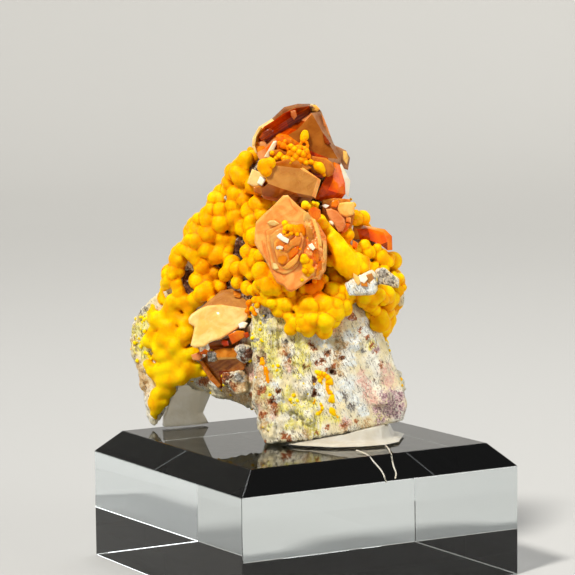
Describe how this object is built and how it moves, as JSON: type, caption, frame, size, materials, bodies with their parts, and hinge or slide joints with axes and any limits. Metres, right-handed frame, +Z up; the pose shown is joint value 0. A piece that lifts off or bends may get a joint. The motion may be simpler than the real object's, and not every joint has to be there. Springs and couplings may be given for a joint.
{
  "type": "mineral specimen on display block",
  "caption": "Display mineral: tabular orange crystals and a yellow knobbly crust on pale rock, standing glued on a clear bevelled square block.",
  "frame": {"origin": "centre of the display block's underside, which stands on the floor", "axes": "+Z up; X and Y along the block's square sides; the specimen's front looks towards the edge between the -X and -Y sides, 30.2 degrees round from -Y towards -X"},
  "size_m": [0.05, 0.05, 0.0749],
  "materials": {
    "host_rock": "rough broken rock",
    "wulfenite": "glossy translucent crystal",
    "mimetite": "waxy botryoidal crust",
    "clear_glue": "clear to milky hot glue",
    "clear_acrylic": "polished clear acrylic"
  },
  "bodies": {
    "root": {"matrix_rock": "host_rock", "wulfenite_crown": "wulfenite", "wulfenite_rose": "wulfenite", "wulfenite_shelf": "wulfenite", "wulfenite_keel": "wulfenite", "wulfenite_blade": "wulfenite", "wulfenite_chip_square": "wulfenite", "wulfenite_chip_pink": "wulfenite", "mimetite_crust": "mimetite", "mimetite_crown_curl": "mimetite", "mimetite_crown_ball": "mimetite", "glue_front": "clear_glue", "glue_rear": "clear_glue", "display_block": "clear_acrylic"}
  },
  "joints": []
}
